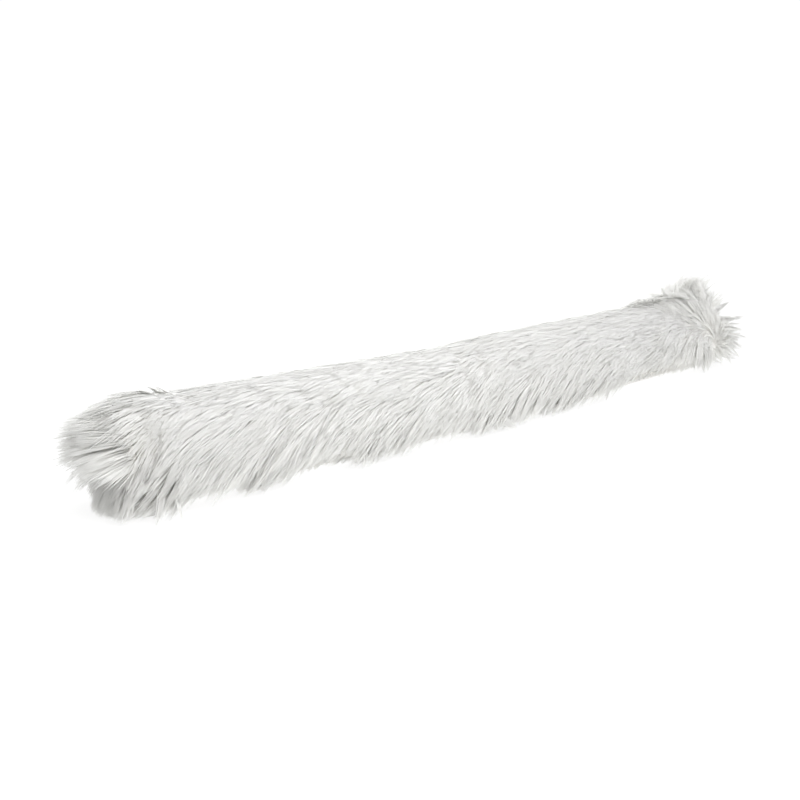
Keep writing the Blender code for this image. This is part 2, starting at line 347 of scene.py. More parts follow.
def make_tube_skin():
    inset = SKIN_INSET + SWELL_ROOM
    ends = (NEAR_SEAM_X + SWELL_ROOM, FAR_SEAM_X - SWELL_ROOM)
    places = np.linspace(ends[0], ends[1], SKIN_STATIONS)
    piece = swell(loft("fur_tube_skin", [skin_section(x, inset) for x in places]))
    smooth = piece.modifiers.new("smooth", "SUBSURF")
    smooth.levels = 1
    smooth.render_levels = 1
    use_modifiers(piece)
    piece.data.shade_smooth()
    piece.data.materials.clear()
    piece.data.materials.append(BACKING)
    print(piece.name, "has", len(piece.data.polygons), "faces")
    return piece


tube_skin = make_tube_skin()

# %% [markdown]
# ## The end rounds
# Each end is closed by a round of the same fabric, pushed out a little by the filling. It is a domed
# disc that is sewn in just inside the tube's end.

# %% End rounds
ROUND_SHARE = 0.90
ROUND_DEPTH = 0.0075
ROUND_STEP = 0.0015
ROUND_RINGS = 7


def make_round_skin(name, seam_x, way):
    """A domed disc on the end section at a seam: way is -1 at the near end and 1 at the far one."""
    outline = skin_section(seam_x, SKIN_INSET / 2)
    middle = sum(outline, Vector()) / len(outline)
    start = seam_x + way * SEAM_GAP
    rings = [[Vector((start, 0, 0)) + (point - middle) * ROUND_SHARE + Vector((0, middle.y, middle.z))
              for point in outline]]
    for ring in range(ROUND_RINGS):
        angle = ring / ROUND_RINGS * math.pi / 2
        x = start + way * (ROUND_STEP + ROUND_DEPTH * math.sin(angle))
        share = ROUND_SHARE * math.cos(angle)
        rings.append([Vector((x, middle.y, middle.z)) + (point - middle) * share for point in outline])
    piece = loft(name, rings)
    piece.data.shade_smooth()
    piece.data.materials.append(BACKING)
    print(name, "reaches", round(ROUND_DEPTH * 1000, 1), "mm past the seam")
    return piece


near_round = make_round_skin("near_round_skin", NEAR_SEAM_X, -1)
far_round = make_round_skin("far_round_skin", FAR_SEAM_X, 1)

# %% [markdown]
# ## Combing the pile
# A fur fabric has a lie: its fibres all lean one way. Here they lean towards the near end. Gravity and
# handling then turn them down at both sides, so they sweep to the floor. Where the tube was folded in
# the middle the pile parts, and at the far end it has been pushed up into a crown. This is held as
# attributes on the skin: comb is the way a fibre leans, lift is how steeply it stands, and pile is its
# length. The angles come from the photograph, at a few places along and around the tube.

# %% How far the pile turns from lengthwise towards the floor, in degrees
COMB_ARCS = (0.000, 0.030, 0.055, 0.080, 0.110)
COMBING = np.array((
    # x_share, at the top, then at each arc down to the foot
    (-1.000, 0, 20, 34, 36, 30),
    (-0.890, 0, 16, 28, 36, 40),
    (-0.730, 0, 6, 14, 30, 46),
    (-0.450, 2, 5, 14, 34, 48),
    (-0.200, 0, 4, 12, 30, 48),
    (-0.120, 0, 4, 12, 30, 50),
    (-0.090, 2, 8, 20, 40, 62),
    (0.060, 0, 5, 14, 34, 55),
    (0.300, 0, 3, 9, 24, 46),
    (0.480, 0, 2, 7, 20, 40),
    (0.640, 0, 2, 5, 12, 24),
    (0.740, -25, -15, 12, 30, 45),
    (0.800, -60, -50, 15, 55, 70),
    (0.860, -80, -75, -20, 75, 85),
    (0.920, -95, -90, -80, 80, 90),
    (0.960, -105, -100, -95, -85, 95),
    (1.000, -125, -120, -115, -125, 120),
))

# Places where the pile differs: it is shorter and flatter in a dent or a parting, and it stands up
# where it has been brushed the wrong way. Each runs from one place on the skin to another.
PLACES = (
    # x_from, arc_from, x_to, arc_to, half_width, length_factor, lift, extra_turn
    (-0.283, -0.056, -0.353, -0.104, 0.010, 0.78, -0.05, 14),
    (-0.231, -0.046, -0.294, -0.090, 0.009, 0.78, -0.05, 12),
    (-0.420, -0.030, -0.440, -0.070, 0.014, 0.62, -0.06, 10),
    (-0.048, -0.110, -0.040, 0.110, 0.008, 0.82, -0.05, 0),
    (0.335, -0.034, 0.415, -0.072, 0.010, 0.75, -0.05, 0),
    (-0.410, 0.010, -0.418, 0.014, 0.012, 1.00, 0.12, 0),
    (0.335, 0.004, 0.375, 0.006, 0.024, 1.00, 0.23, 0),
    (0.432, -0.020, 0.434, 0.040, 0.019, 0.95, 0.60, 0),
    (0.434, -0.034, 0.445, -0.058, 0.016, 0.45, -0.20, 0),
    (0.445, -0.075, 0.445, -0.100, 0.016, 0.70, 0.40, 0),
)
PILE_LENGTH = 0.042
LIFT = 0.14
HANG_TUCK = 0.30
TUBE_SAG = 0.10

# The hanging pile ends in a ragged hem, in bunches that reach the floor and gaps between them
HEM = np.array((
    # x, height of the hem over the floor at the front, both in millimetres
    (-470, 2), (-440, 0), (-425, 1), (-412, 6), (-405, 13), (-385, 14), (-357, 13), (-345, 2), (-325, 0),
    (-312, 5), (-290, 12), (-276, 22), (-258, 20), (-240, 24), (-226, 16), (-209, 0), (-198, 0), (-177, 9),
    (-160, 1), (-142, 12), (-108, 15), (-90, 12), (-71, 16), (-52, 2), (-16, 0), (20, 0), (32, 12), (52, 13),
    (69, 3), (87, 0), (134, 6), (162, 14), (181, 9), (206, 14), (220, 22), (232, 26), (250, 26), (383, 22),
    (399, 6), (412, 14), (429, 6), (445, 12),
))
MEAN_REACH = 0.83
LEAST_FALL = 0.05
HEM_TRIES = 4
SHORTEST_HANG = 0.007
BARE_HEIGHT = 0.0045
BARE_BELOW_HEM = 0.014
HEM_FADE = 0.003

# The pile is cut shorter at the front of the near rim
RIM_CUT = 0.42
RIM_X, RIM_X_RUN = -0.385, 0.06
RIM_ARC, RIM_ARC_RUN = 0.02, 0.03

# How far the tips of a lock close up: little on the top, more down the sides and most at the crown
TOP_CLING, SIDE_CLING, CROWN_CLING = 0.16, 0.50, 0.85
SIDE_ARC, CROWN_X, CLING_RUN = 0.065, 0.36, 0.04
LEAST_LIFT, MOST_LIFT = 0.05, 0.9
FACING_END = 0.9


def comb_ways(share, arc):
    """Lie at each point as its part towards the near end and its part towards the floor.

    It is read between the table's rows and columns as a direction, so that it turns the short way."""
    angles = np.radians(COMBING[:, 1:])
    place = np.interp(np.abs(arc), COMB_ARCS, range(len(COMB_ARCS)))
    low = np.minimum(place.astype(int), len(COMB_ARCS) - 2)
    part = place - low
    points = np.arange(len(share))
    ways = []
    for values in (np.cos(angles), np.sin(angles)):
        columns = np.stack([np.interp(share, COMBING[:, 0], column) for column in values.T])
        ways.append(columns[low, points] * (1 - part) + columns[low + 1, points] * part)
    return np.arctan2(ways[1], ways[0])


def near_place(x, arc, row):
    """How much each point lies in a place of the table, from 0 outside it to 1 on its line."""
    start = np.array((row[0], row[1]))
    run = np.array((row[2], row[3])) - start
    offset = np.stack([x - start[0], arc - start[1]], axis=1)
    share = np.clip(offset @ run / (run @ run), 0, 1)
    distance = np.linalg.norm(offset - share[:, None] * run, axis=1)
    return smooth_step(1.5 * (1 - distance / row[4]))


def hem_height(x, front):
    """Height of the hem at x. The back, which is not in view, has the same hem turned end for end."""
    return np.interp(np.where(front, x, -x) * 1000, HEM[:, 0], HEM[:, 1]) / 1000


def hang_length(x, z, front, angle, tuck, pile):
    """Pile cut so that a strand that hangs from height z ends near the hem below its tip."""
    fall = np.maximum(np.sin(angle) * np.sqrt(1 - tuck ** 2) + TUBE_SAG, LEAST_FALL)
    length = pile
    for _ in range(HEM_TRIES):
        hem = hem_height(x - np.cos(angle) * length * MEAN_REACH, front)
        length = np.minimum(pile, np.maximum((z - hem) / (fall * MEAN_REACH), SHORTEST_HANG))
    return length


def unit(vectors):
    return vectors / np.maximum(np.linalg.norm(vectors, axis=1, keepdims=True), 1e-9)


def keep_attributes(piece, comb, lift, pile, cling, density):
    """Stores the combing on the skin's points, for the pile to read."""
    mesh = piece.data
    mesh.attributes.new("comb", "FLOAT_VECTOR", "POINT").data.foreach_set("vector", comb.ravel())
    for name, values in (("lift", lift), ("pile", pile), ("cling", cling), ("density", density)):
        mesh.attributes.new(name, "FLOAT", "POINT").data.foreach_set("value", values)
    print(piece.name, "combed: pile", [round(float(v) * 1000) for v in (pile.min(), pile.max())], "mm long")


def points_and_normals(piece):
    points = np.array([vert.co for vert in piece.data.vertices])
    normals = np.array([vert.normal for vert in piece.data.vertices])
    return points, normals


def comb_tube(piece):
    points, normals = points_and_normals(piece)
    sizes = np.array([section_sizes(x) for x in points[:, 0]])
    centre = CENTRE_SHARE * sizes[:, 1]
    front = points[:, 1] < sizes[:, 2]
    across, above = points[:, 1] - sizes[:, 2], points[:, 2] - centre
    arc = SKIN_RADIUS * np.arctan2(across, above)
    x = points[:, 0] - MIDDLE_X
    angle = comb_ways(x / HALF_LENGTH, arc)
    lift = np.full(len(points), LIFT)
    pile = np.full(len(points), PILE_LENGTH)
    for row in PLACES:
        amount = near_place(x, arc, row)
        pile *= 1 + amount * (row[5] - 1)
        lift += amount * row[6]
        angle += np.radians(row[7]) * amount
    side = np.where(front, -1.0, 1.0)
    tuck = np.where(normals[:, 2] < 0, HANG_TUCK, 1) * normals[:, 2]
    down = unit(np.stack([np.zeros(len(points)), side * tuck, -np.sqrt(1 - tuck ** 2)], axis=1))
    comb = unit(np.array((-1.0, 0, 0)) * np.cos(angle)[:, None] + down * np.sin(angle)[:, None])
    near_rim = smooth_step((RIM_X - x) / RIM_X_RUN) * smooth_step((-arc - RIM_ARC) / RIM_ARC_RUN)
    pile *= 1 - RIM_CUT * near_rim
    pile = hang_length(x, points[:, 2], front, angle, tuck, pile)
    cling = TOP_CLING + SIDE_CLING * smooth_step((np.abs(arc) - SIDE_ARC) / CLING_RUN)
    cling = np.maximum(cling, CROWN_CLING * smooth_step((x - CROWN_X) / CLING_RUN))
    bare = np.maximum(hem_height(x, front) - BARE_BELOW_HEM, BARE_HEIGHT)
    density = smooth_step((points[:, 2] - bare) / HEM_FADE)
    density *= np.where(np.abs(normals[:, 0]) > FACING_END, 0, 1)
    keep_attributes(piece, comb, np.clip(lift, LEAST_LIFT, MOST_LIFT), pile, cling, density)


# %% Comb the end rounds
END_COMBING = {
    # piece: (way, length, flare, lift, cling)
    "near_round_skin": (-1, 0.039, 0.38, 0.10, 0.20),
    "far_round_skin": (1, 0.031, 0.95, 0.50, 0.80),
}
ROUND_RADIUS = 0.04
RUN_ON = 0.8
FACING_OUT = 0.05

# The near round's pile: (push to the back, droop, share of the length) of the bunch above and below
BUNCH_PARTING = 0.050
BUNCH_BLEND = 0.006
UPPER_BUNCH = (0.40, 0.12, 1.04)
LOWER_BUNCH = (0.20, 0.80, 0.74)
LOWER_BACK_CUT = 0.50
BACK_FROM, BACK_RUN = -0.1, 0.8
PARTING_CUT = 0.60
PARTING_HEIGHT = 0.043
PARTING_WIDTH = 0.007

# Length of the crown's pile round the far seam, by the angle from the top in degrees
CROWN = np.array((
    (0, 1.0), (25, 0.85), (42, 0.40), (65, 0.45), (85, 0.95), (115, 1.0), (140, 0.7), (180, 0.3),
))


def comb_round(piece):
    """Combs an end round: flared outwards and, at the near end, in an upper and a lower bunch."""
    way, length, flare, lift, cling = END_COMBING[piece.name]
    points, normals = points_and_normals(piece)
    middle = (points.min(axis=0) + points.max(axis=0)) / 2
    outward = (points - middle) * np.array((0, 1, 1)) / ROUND_RADIUS
    comb = outward * flare + np.array((RUN_ON * way, 0, 0))
    if way < 0:
        upper = smooth_step((points[:, 2] - BUNCH_PARTING + BUNCH_BLEND / 2) / BUNCH_BLEND)
        back, droop, share = [low + (high - low) * upper for low, high in zip(LOWER_BUNCH, UPPER_BUNCH)]
        comb += np.stack([0 * droop, back, -droop], axis=1)
        share *= 1 - LOWER_BACK_CUT * (1 - upper) * smooth_step((outward[:, 1] - BACK_FROM) / BACK_RUN)
        share *= 1 - PARTING_CUT * np.exp(-((points[:, 2] - PARTING_HEIGHT) / PARTING_WIDTH) ** 2)
    else:
        angle = np.degrees(np.arctan2(np.abs(outward[:, 1]), outward[:, 2]))
        share = np.interp(angle, CROWN[:, 0], CROWN[:, 1])
    density = np.where(normals[:, 0] * way > FACING_OUT, 1.0, 0.0)
    flat = np.ones(len(points))
    keep_attributes(piece, unit(comb), flat * lift, length * share, flat * cling, density)


comb_tube(tube_skin)
comb_round(near_round)
comb_round(far_round)

# %% [markdown]
# ## The pile, with Geometry Nodes
# A real pile has a few hundred thousand fibres, which cling together in locks. Hair curves would draw
# them, but a part needs plain meshes, so each strand here stands for a pinch of fibres: a three-sided
# spike that bends over from its root. Geometry Nodes scatter the strands on the skin, find the nearest
# lock and the nearest larger tuft, and pull the tips together there, which gives the pointed locks. The
# bend is worked out for each ring of points of a strand from how far along it is.

# %% Sizes of the pile
STRAND_HALF_WIDTH = 0.00062
LOCK_SPACING = 0.0085
TUFT_SPACING = 0.024
TUFT_PULL = 0.12
STRAND_RINGS = 3
STRAND_FLATNESS = 0.24
FLOOR_REST = 0.0010
MOST_LOCKS_PER_M2 = 40000.0
SEED = 7


def make_tree(name, inputs):
    """A tree that takes the named inputs, listed by their kind, and gives one geometry."""
    tree = bpy.data.node_groups.new(name, "GeometryNodeTree")
    tree.interface.new_socket("Geometry", in_out="OUTPUT", socket_type="NodeSocketGeometry")
    for kind, labels in inputs.items():
        for label in labels:
            tree.interface.new_socket(label, in_out="INPUT", socket_type="NodeSocket" + kind)
    return tree


def scatter(tree, given):
    """Nodes that scatter the strands' roots, and give each one its lock and tuft."""
    density = add(tree, NAMED, {"Name": "density"}, data_type="FLOAT")
    amount = add(tree, MATH, (density, given["Strands per m2"]), operation="MULTIPLY")
    roots = add(tree, SCATTER, {"Mesh": given["Skin"], "Density": amount, "Seed": given["Seed"]},
                distribute_method="RANDOM").outputs
    place = add(tree, "GeometryNodeInputPosition")
    x = add(tree, SPLIT, (place,)).outputs["X"]
    past = add(tree, "FunctionNodeCompare", (x, given["From x"]), operation="GREATER_EQUAL")
    short = add(tree, "FunctionNodeCompare", (x, given["To x"]), operation="LESS_THAN")
    both = add(tree, "FunctionNodeBooleanMath", (past, short), operation="AND")
    # The normal is stored before the cut, while it still belongs to the scattered points
    named = add(tree, STORE, {
        "Geometry": roots["Points"], "Name": "root_normal", "Value": roots["Normal"]},
        data_type="FLOAT_VECTOR")
    kept = add(tree, "GeometryNodeSeparateGeometry", (named, both))
    fields = {"place": place}
    for name, spacing, extra in (("lock", given["Lock spacing"], 1), ("tuft", given["Tuft spacing"], 2)):
        seed = add(tree, MATH, (given["Seed"], extra), operation="ADD")
        centres = add(tree, SCATTER, {
            "Mesh": given["Skin"], "Distance Min": spacing, "Density Max": MOST_LOCKS_PER_M2 / extra ** 3,
            "Seed": seed}, distribute_method="POISSON")
        nearest = add(tree, "GeometryNodeSampleNearest", {
            "Geometry": centres, "Sample Position": place})
        centre = add(tree, "GeometryNodeSampleIndex", {
            "Geometry": centres, "Value": place, "Index": nearest}, data_type="FLOAT_VECTOR")
        fields[name + "_pull"] = add(tree, VECTOR, (centre, place), operation="SUBTRACT")
        fields[name + "_dice"] = add(tree, "FunctionNodeRandomValue", {
            0: (0.0, 0.0, 0.0), 1: (1.0, 1.0, 1.0), "ID": nearest, "Seed": 10 + extra},
            data_type="FLOAT_VECTOR")
    return kept, fields


# %% [markdown]
# The lie of a strand starts from the skin's combing. A slow noise, a turn that the whole tuft shares and
# one that the lock shares make it as uneven as brushed fur is. Each result is kept on the root, so that
# it goes with the strand when the strands become one mesh.

# %% Headings and lengths of the strands
WANDER = 0.36
WANDER_SCALE = 26.0
TUFT_TURN = 0.16
LOCK_TURN = 0.13
SHORTEST = 0.66
LOCK_SHARE = 0.26
OWN_SHARE = 0.16


def head_strands(tree, points, fields):
    """Nodes that turn each root's combing a little, and keep heading, side and length on it."""
    comb, normal = [add(tree, NAMED, {"Name": name}, data_type="FLOAT_VECTOR")
                    for name in ("comb", "root_normal")]
    pile = add(tree, NAMED, {"Name": "pile"}, data_type="FLOAT")
    noise = add(tree, "ShaderNodeTexNoise", {
        "Vector": fields["place"], "Scale": WANDER_SCALE, "Detail": 1.0}, noise_dimensions="3D")
    turn = add(tree, MATH, (noise, 0.5), operation="SUBTRACT")
    turn = add(tree, MATH, (turn, WANDER * 2), operation="MULTIPLY")
    for name, share in (("tuft_dice", TUFT_TURN), ("lock_dice", LOCK_TURN)):
        dice = add(tree, SPLIT, (fields[name],)).outputs["X"]
        dice = add(tree, MATH, (dice, 0.5), operation="SUBTRACT")
        turn = add(tree, MATH, (dice, share, turn), operation="MULTIPLY_ADD")
    side = add(tree, VECTOR, (normal, comb), operation="CROSS_PRODUCT")
    heading = add(tree, VECTOR, (side, turn, comb), operation="MULTIPLY_ADD")
    heading = add(tree, VECTOR, (heading,), operation="NORMALIZE")
    side = add(tree, VECTOR, (normal, heading), operation="CROSS_PRODUCT")
    side = add(tree, VECTOR, (side,), operation="NORMALIZE")
    strand = add(tree, "FunctionNodeRandomValue", {
        0: (0.0, 0.0, 0.0), 1: (1.0, 1.0, 1.0), "Seed": 3}, data_type="FLOAT_VECTOR")
    lock, own = [add(tree, SPLIT, (value,)).outputs for value in (fields["lock_dice"], strand)]
    share = add(tree, MATH, (lock["Y"], LOCK_SHARE, SHORTEST), operation="MULTIPLY_ADD")
    share = add(tree, MATH, (own["Y"], OWN_SHARE, share), operation="MULTIPLY_ADD")
    reach = add(tree, MATH, (pile, share), operation="MULTIPLY")
    kept = {"root": fields["place"], "heading": heading, "side": side, "strand_dice": strand,
            "lock_pull": fields["lock_pull"], "tuft_pull": fields["tuft_pull"],
            "lock_dice": fields["lock_dice"], "reach": reach, "lock_shade": lock["Z"]}
    for name, value in kept.items():
        kind = "FLOAT" if name in ("reach", "lock_shade") else "FLOAT_VECTOR"
        points = add(tree, STORE, {"Geometry": points, "Name": name, "Value": value}, data_type=kind)
    return points


# %% [markdown]
# One strand is Blender's cone with three sides, made flat. Before it is copied to every root, its height
# becomes the attribute along and its outline the attribute across. Once the copies are real, each point
# is put where the bent strand passes: it leaves the skin steeply, leans over into its heading, sags a
# little, bows to one side with its lock, and never goes below the floor.

# %% Grow and bend the strands
LIFT_SPREAD = 0.04
LOCK_BOW = 0.15
STRAND_WAVE = 0.020
WAVE_RATE = 5.0
FULL_TURN = 6.28
FLOOR_LAYER = 0.003
BELLY = 1.4
LEAST_WIDTH = 0.65
WIDTH_SPREAD = 0.7


def grow(tree, points):
    """Nodes that put a strand on every point, with along and across on it, as real mesh."""
    cone = add(tree, "GeometryNodeMeshCone", {
        "Vertices": 3, "Side Segments": STRAND_RINGS, "Radius Top": 0.0, "Radius Bottom": 1.0, "Depth": 1.0},
        fill_type="NGON")
    place = add(tree, "GeometryNodeInputPosition")
    height = add(tree, SPLIT, (place,)).outputs["Z"]
    strand = add(tree, STORE, {"Geometry": cone, "Name": "along", "Value": height}, data_type="FLOAT")
    strand = add(tree, STORE, {"Geometry": strand, "Name": "across", "Value": place},
                 data_type="FLOAT_VECTOR")
    copies = add(tree, "GeometryNodeInstanceOnPoints", {"Points": points, "Instance": strand})
    return add(tree, "GeometryNodeRealizeInstances", (copies,))


def widen(tree, path, side, face, width):
    """Nodes that move a point from the middle line of its strand to the strand's flat rim."""
    across = add(tree, NAMED, {"Name": "across"}, data_type="FLOAT_VECTOR")
    rim = add(tree, SPLIT, (across,)).outputs
    out = add(tree, MATH, (rim["X"], width), operation="MULTIPLY")
    path = add(tree, VECTOR, (side, out, path), operation="MULTIPLY_ADD")
    thick = add(tree, MATH, (width, STRAND_FLATNESS), operation="MULTIPLY")
    out = add(tree, MATH, (rim["Y"], thick), operation="MULTIPLY")
    return add(tree, VECTOR, (face, out, path), operation="MULTIPLY_ADD")


def bend(tree, given):
    """Nodes for the place of each point of a strand, from the attributes that its root gave it."""
    along, reach, lift, cling = [add(tree, NAMED, {"Name": name}, data_type="FLOAT")
                                 for name in ("along", "reach", "lift", "cling")]
    root, normal, heading, side, lock_pull, tuft_pull, strand_dice, lock_dice = [
        add(tree, NAMED, {"Name": name}, data_type="FLOAT_VECTOR")
        for name in ("root", "root_normal", "heading", "side", "lock_pull", "tuft_pull", "strand_dice",
                     "lock_dice")]
    own, lock = [add(tree, SPLIT, (value,)).outputs for value in (strand_dice, lock_dice)]
    square = add(tree, MATH, (along, along), operation="MULTIPLY")
    # Rise is steep at first and ends level
    loft = add(tree, MATH, (own["X"], LIFT_SPREAD, lift), operation="MULTIPLY_ADD")
    twice = add(tree, MATH, (along, 2.0), operation="MULTIPLY")
    rise = add(tree, MATH, (twice, square), operation="SUBTRACT")
    rise = add(tree, MATH, (loft, rise), operation="MULTIPLY")
    rise = add(tree, MATH, (rise, reach), operation="MULTIPLY")
    path = add(tree, VECTOR, (normal, rise, root), operation="MULTIPLY_ADD")
    # Run starts slowly and ends straight
    half = add(tree, MATH, (along, 0.5), operation="MULTIPLY")
    run = add(tree, MATH, (square, 0.5, half), operation="MULTIPLY_ADD")
    less = add(tree, MATH, (lift, -0.35, 1.0), operation="MULTIPLY_ADD")
    run = add(tree, MATH, (run, less), operation="MULTIPLY")
    run = add(tree, MATH, (run, reach), operation="MULTIPLY")
    path = add(tree, VECTOR, (heading, run, path), operation="MULTIPLY_ADD")
    # The tips of a lock close up, and those of a tuft draw together a little
    rest = add(tree, MATH, (2.0, along), operation="SUBTRACT")
    gather = add(tree, MATH, (square, rest), operation="MULTIPLY")
    gather = add(tree, MATH, (gather, cling), operation="MULTIPLY")
    path = add(tree, VECTOR, (lock_pull, gather, path), operation="MULTIPLY_ADD")
    gather = add(tree, MATH, (square, given["Tuft pull"]), operation="MULTIPLY")
    path = add(tree, VECTOR, (tuft_pull, gather, path), operation="MULTIPLY_ADD")
    # A lock bows to one side, and each strand has its own slight wave
    bow = add(tree, MATH, (lock["Y"], 0.5), operation="SUBTRACT")
    bow = add(tree, MATH, (bow, LOCK_BOW), operation="MULTIPLY")
    wave = add(tree, MATH, (along, WAVE_RATE), operation="MULTIPLY")
    wave = add(tree, MATH, (own["Z"], FULL_TURN, wave), operation="MULTIPLY_ADD")
    wave = add(tree, MATH, (wave,), operation="SINE")
    wave = add(tree, MATH, (wave, STRAND_WAVE), operation="MULTIPLY")
    wave = add(tree, MATH, (wave, along), operation="MULTIPLY")
    sway = add(tree, MATH, (bow, square, wave), operation="MULTIPLY_ADD")
    sway = add(tree, MATH, (sway, reach), operation="MULTIPLY")
    path = add(tree, VECTOR, (side, sway, path), operation="MULTIPLY_ADD")
    # It sags under its own weight, but not below the strands that lie on the floor
    sag = add(tree, MATH, (square, given["Sag"]), operation="MULTIPLY")
    sag = add(tree, MATH, (sag, reach), operation="MULTIPLY")
    path = add(tree, VECTOR, ((0.0, 0.0, -1.0), sag, path), operation="MULTIPLY_ADD")
    parts = add(tree, SPLIT, (path,)).outputs
    lowest = add(tree, MATH, (own["Y"], FLOOR_LAYER, FLOOR_REST), operation="MULTIPLY_ADD")
    height = add(tree, MATH, (parts["Z"], lowest), operation="MAXIMUM")
    path = add(tree, JOIN, (parts["X"], parts["Y"], height))
    # The outline stays full for half its length and then tapers
    width = add(tree, MATH, (along, BELLY, 1.0), operation="MULTIPLY_ADD")
    width = add(tree, MATH, (width, given["Half width"]), operation="MULTIPLY")
    spread = add(tree, MATH, (own["Y"], WIDTH_SPREAD, LEAST_WIDTH), operation="MULTIPLY_ADD")
    width = add(tree, MATH, (width, spread), operation="MULTIPLY")
    upright = add(tree, MATH, (along, 0.5), operation="ADD")
    face = add(tree, VECTOR, (normal, upright), operation="MULTIPLY")
    lean = add(tree, MATH, (along, 2.0, -2.0), operation="MULTIPLY_ADD")
    lean = add(tree, MATH, (loft, lean), operation="MULTIPLY")
    face = add(tree, VECTOR, (heading, lean, face), operation="MULTIPLY_ADD")
    face = add(tree, VECTOR, (face,), operation="NORMALIZE")
    return widen(tree, path, side, face, width)


def finish(tree, strands, path, material):
    """Nodes that put each point in its place, shade the mesh flat and give it its material."""
    bent = add(tree, "GeometryNodeSetPosition", {"Geometry": strands, "Position": path})
    flat = add(tree, "GeometryNodeSetShadeSmooth", {"Geometry": bent, "Shade Smooth": False})
    coloured = add(tree, "GeometryNodeSetMaterial", {"Geometry": flat, "Material": material})
    add(tree, "NodeGroupOutput", (coloured,))
    print(tree.name, "tree has", len(tree.nodes), "nodes")


PILE_TREE = make_tree("laid pile", {
    "Geometry": ("Skin",),
    "Float": ("Strands per m2", "Half width", "Lock spacing", "Tuft spacing", "From x", "To x",
              "Tuft pull", "Sag"),
    "Int": ("Seed",),
    "Material": ("Material",),
})
given = add(PILE_TREE, "NodeGroupInput").outputs
strands = grow(PILE_TREE, head_strands(PILE_TREE, *scatter(PILE_TREE, given)))
finish(PILE_TREE, strands, bend(PILE_TREE, given), given["Material"])

# %% [markdown]
# ## Growing the pile
# The tube's pile is cut into five lengths, so that no mesh is too large, and each end has its own. The
# cut is by root, so locks run over it with no gap.

# %% Grow every piece of pile
STRANDS_PER_M2 = 222000
END_STRANDS_PER_M2 = 420000
TUBE_LENGTHS = 5
NEAR_ROUND_SAG = 0.22
FAR_ROUND_SAG = 0.02
KEPT_ATTRIBUTES = ("along", "lock_shade", "position", "material_index", "sharp_face")


def drop_attributes(piece):
    """Removes what only the growing needed, and keeps what the material reads."""
    spare = [a.name for a in piece.data.attributes if not a.name.startswith(".")]
    for name in spare:
        if name not in KEPT_ATTRIBUTES:
            piece.data.attributes.remove(piece.data.attributes[name])


def grow_on(piece, tree, sizes):
    """Runs a tree on a piece with the sizes as its inputs, and leaves the piece as a plain mesh."""
    bpy.context.scene.collection.objects.link(piece)
    modifier = piece.modifiers.new("pile", "NODES")
    modifier.node_group = tree
    for socket in tree.interface.items_tree:
        if socket.name in sizes:
            modifier[socket.identifier] = sizes[socket.name]
    use_modifiers(piece)
    drop_attributes(piece)
    print(piece.name, "has", sum(len(face.vertices) - 2 for face in piece.data.polygons), "triangles")
    return piece


def grow_pile(name, skin, low_x, high_x, strands_per_m2, sag):
    """Grows the pile of one skin between two places along it."""
    return grow_on(bpy.data.objects.new(name, skin.data.copy()), PILE_TREE, {
        "Strands per m2": float(strands_per_m2), "Half width": STRAND_HALF_WIDTH,
        "Lock spacing": LOCK_SPACING, "Tuft spacing": TUFT_SPACING, "From x": float(low_x),
        "To x": float(high_x), "Tuft pull": TUFT_PULL, "Sag": sag, "Seed": SEED, "Material": FUR,
    })


def grow_all():
    edges = np.linspace(NEAR_SEAM_X, FAR_SEAM_X, TUBE_LENGTHS + 1)
    edges[0], edges[-1] = -1, 1
    pieces = []
    for number in range(TUBE_LENGTHS):
        low, high = edges[number:number + 2]
        pieces.append(grow_pile(f"tube_pile_{number + 1}", tube_skin, low, high, STRANDS_PER_M2, TUBE_SAG))
    pieces.append(grow_pile("near_round_pile", near_round, -1, 1, END_STRANDS_PER_M2, NEAR_ROUND_SAG))
    pieces.append(grow_pile("far_round_pile", far_round, -1, 1, END_STRANDS_PER_M2, FAR_ROUND_SAG))
    return pieces


piles = grow_all()

# %% [markdown]
# ## Locks that stand apart
# Some locks in the photograph stand out by themselves: long ones that spread on the floor, the ragged
# tips along the foot, strays on the top, and the spikes of the crown. Each is a row of a table with the
# place of its root on the skin and of its tip. A second, smaller tree draws its strands, which start in a
# small patch and close up at the tip.

